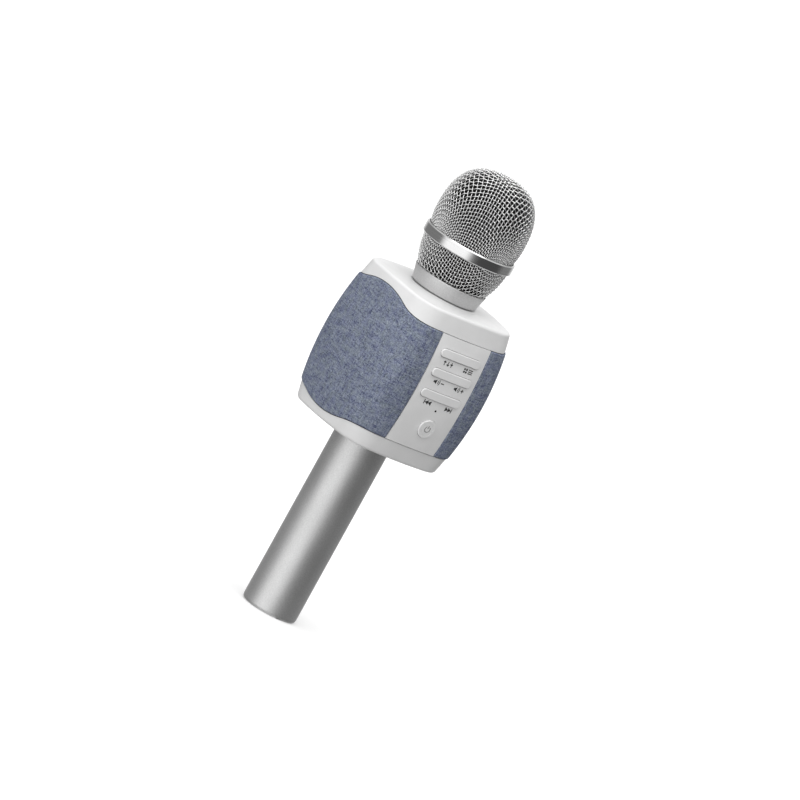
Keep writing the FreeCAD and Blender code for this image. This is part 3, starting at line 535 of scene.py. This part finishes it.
def weave(name, spread, inner_row, outer_row):
    """Makes every wire of one grille as a curve with a round section, then turns them into a mesh."""
    curve = bpy.data.curves.new(name, "CURVE")
    curve.dimensions = "3D"
    curve.bevel_depth = WIRE_D / 2
    curve.bevel_resolution = 1
    curve.use_fill_caps = True
    count = int(outer_row)
    for line in range(-count, count + 1):
        for start, end in wire_spans(line, inner_row, outer_row):
            inner = np.arange(math.ceil(start * POINTS_PER_CELL), math.ceil(end * POINTS_PER_CELL))
            along = np.unique(np.concatenate([[start], inner / POINTS_PER_CELL, [end]]))
            across = np.full_like(along, float(line))
            wave = WEAVE_RISE * np.cos(math.pi * along) * (-1) ** abs(line)
            for lengthwise in (True, False):
                x, y = (across, along) if lengthwise else (along, across)
                rise = (wave if lengthwise else -wave) - WEAVE_RISE - WIRE_D / 2
                points = spread.at(x, y, rise)
                spline = curve.splines.new("POLY")
                spline.points.add(len(points) - 1)
                spline.points.foreach_set("co", np.c_[points, np.ones(len(points))].ravel())
    piece = bpy.data.objects.new(name, curve)
    bpy.context.scene.collection.objects.link(piece)
    only(piece)
    bpy.ops.object.convert(target="MESH")
    piece = bpy.context.object
    bpy.ops.object.shade_smooth()
    return settle(piece, name, grille_wire)


def ease(value, start, end):
    """0 before start, 1 after end, and a smooth slope between."""
    t = np.clip((value - start) / (end - start), 0.0, 1.0)
    return t * t * (3 - 2 * t)


# %% [markdown]
# The dome is a superellipse: fuller than a ball, so that it stands nearly upright where it meets the
# ring. Its cells are larger on the crown (`ROW_TOP`) and close up towards the ring (`ROW_RING`), from
# the shoulder on, as they do when flat cloth of wire is drawn down over a form.

# %% Upper grille
DOME_POWER = 2.55
DOME_WIDEST = 0.2386
DOME_TUCK = 0.0012
TUCK_SPAN = 0.0093
ROW_TOP = 0.00245
ROW_RING = 0.00150
SHOULDER = 0.034
WEAVE_END = 0.2272


def dome_profile(shrink=0.0):
    """Radius and height of the dome from its crown down to inside the ring."""
    t = np.linspace(math.pi / 2, 0.0, 160)
    a, c = grille_r - shrink, grille_top - DOME_WIDEST - shrink
    radius = a * np.abs(np.cos(t)) ** (2 / DOME_POWER)
    height = DOME_WIDEST + c * np.abs(np.sin(t)) ** (2 / DOME_POWER)
    radius[0] = 0.0
    lower_z = np.linspace(DOME_WIDEST, WEAVE_END, 24)[1:]
    lower_r = a - DOME_TUCK * ((DOME_WIDEST - lower_z) / TUCK_SPAN) ** 2
    return np.concatenate([radius, lower_r]), np.concatenate([height, lower_z])


dome_r, dome_z = dome_profile()


def dome_rows(s):
    """Rows of cells counted from the crown, at distances s along the surface."""
    cell = ROW_TOP + (ROW_RING - ROW_TOP) * ease(s, SHOULDER, s[-1])
    middle_cells = (cell[1:] + cell[:-1]) / 2
    return np.concatenate([[0.0], np.cumsum(np.diff(s) / middle_cells)])


def dome_gather(s):
    """How strongly the columns gather at distances s from the crown: apart first, together later."""
    return 0.22 - 0.46 * ease(s, SHOULDER - 0.006, s[-1])


dome = Spread(dome_r, dome_z, dome_rows, dome_gather, way=-1.0)
upper_wires = weave("upper_grille_wires", dome, 0.0, dome.rows[-1])
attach(upper_wires, "head")
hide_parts("upper_grille")
print("rows from crown to ring:", round(float(dome.rows[-1]), 1))

# %% [markdown]
# The lower grille is the same weave, but its middle is cut away where the collar grips it, so its rows
# are counted outwards from the collar to the ring.

# %% Lower grille
CUP_ROWS = (11.2, 21.4)
CUP_BOW = 0.0013
CUP_FOOT_R = 0.0205


def cup_profile():
    """Radius and height of the lower grille from the collar up to the ring, a little bowed."""
    t = np.linspace(0.0, 1.0, 60)
    z = lower_low[2] + (lower_high[2] - lower_low[2]) * t
    return CUP_FOOT_R + (lower_high[0] - CUP_FOOT_R) * t + CUP_BOW * 4 * t * (1 - t), z


cup_r, cup_z = cup_profile()
cup = Spread(
    cup_r, cup_z,
    lambda s: CUP_ROWS[0] * (CUP_ROWS[1] / CUP_ROWS[0]) ** (s / s[-1]),
    lambda s: 0.21 - 0.34 * s / s[-1],
)
lower_wires = weave("lower_grille_wires", cup, *CUP_ROWS)
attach(lower_wires, "head")
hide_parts("lower_grille")

# %% [markdown]
# ## Foam windscreen
#
# The lining is a thick foam sock that follows the grille from the inside. Its outline is drawn once, in
# the XZ plane, spun round the axis, and roughened a little with a Displace modifier.

# %% Foam windscreen
LINING_GAP = 0.00145
LINING_T = 0.0026
FOAM_FOOT_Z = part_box("windscreen_foam")[0][2]
NECK_LINE = [(0.0230, 0.222), (0.02195, 0.214), (0.0196, FOAM_FOOT_Z)]


def lining_side(shrink):
    """The lining's outline from crown to foot, on a surface taken in from the dome by shrink."""
    radius, height = dome_profile(shrink)
    keep = slice(0, len(radius), 6)
    depth = shrink - LINING_GAP
    return list(zip(radius[keep], height[keep])) + [(r - depth, z) for r, z in NECK_LINE]


def spin_outline(name, outline, steps=96):
    """Spins a line of (radius, height) points round the Z axis."""
    mesh = bpy.data.meshes.new(name)
    edges = [(i, i + 1) for i in range(len(outline) - 1)]
    mesh.from_pydata([(r, 0.0, z) for r, z in outline], edges, [])
    piece = bpy.data.objects.new(name, mesh)
    bpy.context.scene.collection.objects.link(piece)
    only(piece)
    bpy.ops.object.mode_set(mode="EDIT")
    bpy.ops.mesh.select_all(action="SELECT")
    bpy.ops.mesh.spin(steps=steps, angle=2 * math.pi, center=(0, 0, 0), axis=(0, 0, 1))
    bpy.ops.object.mode_set(mode="OBJECT")
    mend_normals(piece)
    return piece


outline = lining_side(LINING_GAP) + lining_side(LINING_GAP + LINING_T)[::-1]
lining = spin_outline("foam_lining", outline)
pores = bpy.data.textures.new("pores", "CLOUDS")
pores.noise_scale = 0.003
rough = lining.modifiers.new("rough", "DISPLACE")
rough.texture = pores
rough.texture_coords = "LOCAL"
rough.strength = 0.0003
rough.mid_level = 0.7
bpy.ops.object.modifier_apply(modifier="rough")
bpy.ops.object.shade_smooth()
settle(lining, "foam_lining", foam)
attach(lining, "head_lining")
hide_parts("windscreen_foam")

# %% [markdown]
# ## Denim cover
#
# The cloth is stretched round the speaker body from one side of the panel to the other. The body's
# section is a square with four bowed sides and four round corners, and it grows thinner towards top and
# bottom like a barrel. A grid is laid on that shape: its columns walk round the section, its rows run
# from the lower seam to the upper one, which swell over the loudspeakers. The last rows and columns
# turn in, as cloth does where it is tucked into a groove.

# %% The body's shape
cover_low, cover_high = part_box("denim_cover")
panel_low, panel_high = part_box("control_panel")
CROWN_R = 0.140
CORNER_R = 0.0174
BARREL_R = 0.212
SIDE_HALF = cover_high[0]
BODY_MIDDLE = 0.1522
HUMP_HALF = 0.036
OPENING_HALF = panel_high[0] + 0.00035


def side_half(z):
    """Distance from the axis to the middle of a side at height z."""
    return SIDE_HALF - (BARREL_R - math.sqrt(BARREL_R**2 - (z - BODY_MIDDLE) ** 2))


def section_arcs(z):
    """The section's arcs from the panel's right edge round the back to its left edge."""
    side_centre = side_half(z) - CROWN_R
    reach = CROWN_R - CORNER_R
    corner = (side_centre + math.sqrt(2 * reach**2 - side_centre**2)) / 2
    lean = math.atan2(corner, corner - side_centre)
    edge = math.asin(OPENING_HALF / CROWN_R)
    arcs = []
    for quarter in range(5):
        turn = (quarter - 1) * math.pi / 2
        c, s = math.cos(turn), math.sin(turn)
        first = edge if quarter == 0 else -lean
        last = -edge if quarter == 4 else lean
        arcs.append((side_centre * c, side_centre * s, CROWN_R, turn + first, turn + last))
        if quarter < 4:
            at = (corner * (c - s), corner * (s + c))
            arcs.append((at[0], at[1], CORNER_R, turn + lean, turn + math.pi / 2 - lean))
    return arcs


def walk(z, fraction, inset):
    """The point a given fraction of the way round the section, taken in by inset."""
    arcs = section_arcs(z)
    total = sum(r * (b - a) for _, _, r, a, b in arcs)
    left = fraction * total
    for x, y, r, a, b in arcs:
        if left <= r * (b - a) + 1e-12:
            break
        left -= r * (b - a)
    angle = a + left / r
    return x + (r - inset) * math.cos(angle), y + (r - inset) * math.sin(angle), total


def hump(y, height):
    """How far a seam swells at y: three arcs that meet without a corner."""
    if abs(y) >= HUMP_HALF:
        return 0.0
    r = (HUMP_HALF**2 + height**2) / (4 * height)
    if abs(y) <= HUMP_HALF / 2:
        return height - r + math.sqrt(r * r - y * y)
    return r - math.sqrt(r * r - (HUMP_HALF - abs(y)) ** 2)


# %% [markdown]
# ### Cut and lay the cloth
#
# The flat grid has one vertex for each place on the cloth. Every vertex goes to its own place on the
# body, and its place on the flat cloth becomes its UV. The grid is then given the cloth's thickness,
# inwards, so that its face lies where the engineering model has it.

# %% Cut and lay the cloth
COLUMNS = 260
ROWS = 64
TUCK = 0.0007
CLOTH_T = 0.0009
UPPER_SEAM = panel_high[2]
LOWER_SEAM = panel_low[2]
UPPER_SWELL = cover_high[2] - UPPER_SEAM
LOWER_SWELL = LOWER_SEAM - cover_low[2]


def spaced(count, length, edge):
    """Positions 0 to 1 with closer lines inside the edge band, where the cloth turns in."""
    band = edge / length
    turned = [band * t for t in (0.0, 0.12, 0.3, 0.6)]
    inner = [band + (1 - 2 * band) * i / (count - 9) for i in range(count - 8)]
    return turned + inner + [1 - t for t in turned[::-1]]


def turned_in(distance):
    """How deep the tucked edge lies, at a distance in from the cut."""
    if distance >= TUCK:
        return 0.0
    return TUCK - math.sqrt(max(0.0, TUCK**2 - (TUCK - distance) ** 2))


def cloth_point(fu, fv, wrap_length):
    """Where a place on the cloth (0 to 1 along and up it) lies on the body, and its flat place."""
    z = LOWER_SEAM + (UPPER_SEAM - LOWER_SEAM) * fv
    for _ in range(3):
        x, y, _ = walk(z, fu, 0.0)
        z_top = UPPER_SEAM + hump(y, UPPER_SWELL) * (abs(x) > abs(y))
        z_low = LOWER_SEAM - hump(y, LOWER_SWELL) * (abs(x) > abs(y))
        z = z_low + (z_top - z_low) * fv
    to_side = min(fu, 1 - fu) * wrap_length
    to_seam = min(fv, 1 - fv) * (z_top - z_low)
    x, y, _ = walk(z, fu, turned_in(min(to_side, to_seam)))
    return (x, y, z), (fu * wrap_length, z)


def lay_cloth():
    """The cloth as a sheet without thickness, and its length round the body at the widest place."""
    wrap_length = walk(BODY_MIDDLE, 0.0, 0.0)[2]
    fus = spaced(COLUMNS, wrap_length, TUCK)
    fvs = spaced(ROWS, UPPER_SEAM - LOWER_SEAM, TUCK)
    deselect()
    bpy.ops.mesh.primitive_grid_add(x_subdivisions=COLUMNS - 1, y_subdivisions=ROWS - 1, size=2.0)
    piece = bpy.context.object
    mesh = piece.data
    maps = mesh.uv_layers[0] if mesh.uv_layers else mesh.uv_layers.new()
    maps.name = "cloth"
    places = {}
    for vertex in mesh.vertices:
        column = round((vertex.co.x + 1) / 2 * (COLUMNS - 1))
        row = round((vertex.co.y + 1) / 2 * (ROWS - 1))
        place, flat = cloth_point(fus[column], fvs[row], wrap_length)
        vertex.co = place
        places[vertex.index] = flat
    for loop in mesh.loops:
        maps.data[loop.index].uv = places[loop.vertex_index]
    print("cloth is", round(wrap_length, 4), "m round")
    return piece, wrap_length


cover, wrap_length = lay_cloth()
mend_normals(cover)
thick = cover.modifiers.new("thick", "SOLIDIFY")
thick.thickness = CLOTH_T
thick.offset = -1.0
thick.use_even_offset = True
bpy.ops.object.modifier_apply(modifier="thick")
bpy.ops.object.shade_smooth()
settle(cover, "denim_wrap", denim)
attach(cover, "main_body")
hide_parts("denim_cover")

# %% [markdown]
# ## Signs on the panel
#
# Under the ends of each two-way key there is a small printed sign. They are drawn as flat bars, discs
# and triangles in the XZ plane and then pressed onto the bowed panel, standing a few hundredths of a
# millimetre proud, as pad printing does. They are plain symbols: sliders, a four-square, less and more,
# back and forward.

# %% Printing helpers
PRINT_RISE = 0.00003
PRINT_T = 0.00006
PANEL_INSET = 0.0003
PANEL_R = CROWN_R - PANEL_INSET


def panel_depth(x, z):
    """How far in front of the axis the panel's face lies at (x, z)."""
    return math.sqrt(PANEL_R**2 - x * x) + side_half(z) - CROWN_R


def bar(x, z, width, height, turn=0.0):
    """A flat rectangle centred at (x, z), facing -Y."""
    deselect()
    bpy.ops.mesh.primitive_grid_add(x_subdivisions=6, y_subdivisions=4, size=1.0, location=(x, 0, z),
                                    rotation=(math.pi / 2, turn, 0))
    piece = bpy.context.object
    piece.scale = (width, height, 1.0)
    return piece


def wedge(x, z, size, way):
    """A flat triangle that points along +X or -X."""
    deselect()
    bpy.ops.mesh.primitive_circle_add(vertices=3, radius=size, fill_type="TRIFAN", location=(x, 0, z),
                                      rotation=(math.pi / 2, way * math.pi / 2, 0))
    return bpy.context.object


def hoop(x, z, radius, width, start=0.0, end=360.0):
    """A flat arc of a ring; angles run from straight up."""
    steps = max(6, int((end - start) / 10))
    vertices, faces = [], []
    for i in range(steps + 1):
        angle = math.radians(start + (end - start) * i / steps)
        for r in (radius - width / 2, radius + width / 2):
            vertices.append((x + r * math.sin(angle), 0.0, z + r * math.cos(angle)))
    for i in range(steps):
        faces.append((2 * i, 2 * i + 1, 2 * i + 3, 2 * i + 2))
    mesh = bpy.data.meshes.new("hoop")
    mesh.from_pydata(vertices, [], faces)
    piece = bpy.data.objects.new("hoop", mesh)
    bpy.context.scene.collection.objects.link(piece)
    return piece


def press_on(pieces, name, material, depth, body):
    """Joins flat signs, lays them on the surface whose depth is given, and makes them solid."""
    for piece in pieces:
        only(piece)
        bpy.ops.object.transform_apply(location=True, rotation=True, scale=True)
    whole = join(pieces)
    for vertex in whole.data.vertices:
        x, _, z = vertex.co
        vertex.co.y = -depth(x, z) - PRINT_RISE
    mend_normals(whole)
    thick = whole.modifiers.new("thick", "SOLIDIFY")
    thick.thickness = PRINT_T
    thick.offset = 0.0
    bpy.ops.object.modifier_apply(modifier="thick")
    mend_normals(whole)
    settle(whole, name, material)
    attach(whole, body)
    return whole


# %% [markdown]
# ### The six signs
#
# Each key has a sign under its left end and one under its right end. The top key changes the sound and
# the mode, the middle one the loudness, the lowest one the track.

# %% Printed signs
sign_ink = moulded("sign_ink", (0.03, 0.03, 0.032), 0.55)
pale_ink = moulded("pale_ink", (0.30, 0.30, 0.30), 0.5)
SIGN_DROP = 0.00465
LEFT_X = -0.0066
RIGHT_X = 0.0082
LINE = 0.00052


def key_height(name):
    """Height of a key's middle."""
    key_low, key_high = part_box(name)
    return (key_low[2] + key_high[2]) / 2


def sliders(x, z):
    """Three sliders, each a thin track with its knob at another height."""
    drawn = []
    for i, knob in enumerate((0.0006, -0.0006, 0.0002)):
        at = x + (i - 1) * 0.0024
        drawn += [bar(at, z, LINE * 0.8, 0.0027), bar(at, z + knob, 0.0016, LINE * 1.3)]
    return drawn


def four_square(x, z):
    """Four squares beside three lines of a list."""
    apart = 0.00075
    spots = [(sx * apart, sz * apart) for sx in (-1, 1) for sz in (-1, 1)]
    squares = [bar(x - 0.002 + dx, z + dz, 0.0011, 0.0011) for dx, dz in spots]
    return squares + [bar(x + 0.0017, z + dz, 0.0032, LINE) for dz in (-0.001, 0.0, 0.001)]


def loudness(x, z, more):
    """A loudspeaker with two waves, and a plus or a minus beside it."""
    drawn = [bar(x - 0.0030, z, 0.0010, 0.0012), wedge(x - 0.0023, z, 0.0015, -1)]
    drawn += [hoop(x - 0.0018, z, r, LINE * 0.8, 50.0, 130.0) for r in (0.0013, 0.0023)]
    drawn.append(bar(x + 0.0026, z, 0.0022, LINE))
    if more:
        drawn.append(bar(x + 0.0026, z, LINE, 0.0022))
    return drawn


def skip(x, z, way):
    """Two arrowheads against a bar, pointing along X by way."""
    heads = [wedge(x + way * dx, z, 0.0015, way) for dx in (-0.0014, 0.0007)]
    return heads + [bar(x + way * 0.0025, z, LINE, 0.0026)]


signs = []
for key, left_sign, right_sign in (
    ("rocker_effect_mode", sliders, four_square),
    ("rocker_volume", lambda x, z: loudness(x, z, False), lambda x, z: loudness(x, z, True)),
    ("rocker_track", lambda x, z: skip(x, z, -1), lambda x, z: skip(x, z, 1)),
):
    sign_z = key_height(key) - SIGN_DROP
    signs += left_sign(LEFT_X, sign_z) + right_sign(RIGHT_X, sign_z)
press_on(signs, "panel_signs", sign_ink, panel_depth, "main_body")

# %% [markdown]
# ### Power sign
#
# The round button carries a pale power sign. Its face is flat but leans with the barrel, so the sign's
# depth follows a straight line down the face.

# %% Power sign
button_low, button_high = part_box("power_button")
BUTTON_X = (button_low[0] + button_high[0]) / 2
BUTTON_Z = 0.133
BUTTON_PROUD = 0.00095
BUTTON_LEAN = math.asin((BUTTON_Z - BODY_MIDDLE) / BARREL_R)


def button_depth(x, z):
    """Depth of the button's flat face, which leans with the barrel."""
    face = side_half(BUTTON_Z) - PANEL_INSET + BUTTON_PROUD * math.cos(BUTTON_LEAN)
    face_z = BUTTON_Z + BUTTON_PROUD * math.sin(BUTTON_LEAN)
    return face - (z - face_z) * math.tan(BUTTON_LEAN)


power_ring = hoop(BUTTON_X, BUTTON_Z, 0.0017, LINE, 35.0, 325.0)
power_sign = [power_ring, bar(BUTTON_X, BUTTON_Z + 0.0012, LINE, 0.0018)]
press_on(power_sign, "power_sign", pale_ink, button_depth, "power_key")

# %% [markdown]
# ## A finish for every carried-over part
#
# The engineering parts keep their shapes; each takes the recipe that belongs to the material slot it
# was filed under.

# %% Finishes
RECIPES = {
    "shell_plastic": shell_plastic,
    "panel_plastic": panel_plastic,
    "silver_lacquer": silver_lacquer,
    "collar_lacquer": collar_lacquer,
    "ring_chrome": ring_chrome,
    "grille_wire": grille_wire,
    "denim": denim,
    "foam": foam,
    "black_plastic": black_plastic,
    "light_pipe": light_pipe,
    "board_green": board_green,
    "chip_black": chip_black,
    "screw_steel": screw_steel,
    "connector_steel": connector_steel,
    "driver_steel": driver_steel,
    "ferrite": ferrite,
    "paper_cone": paper_cone,
    "copper": copper,
    "rubber": rubber,
    "cell_wrap": cell_wrap,
}
slots = {part["node"]: part["material_slot"] for part in frame["record"]["subparts"]}
for name, part in frame["nodes"].items():
    finish = RECIPES[slots[name]]
    for index in range(max(1, len(part.material_slots))):
        if part.material_slots:
            part.material_slots[index].material = finish
        else:
            part.data.materials.append(finish)
print("finished", len(frame["nodes"]), "parts")
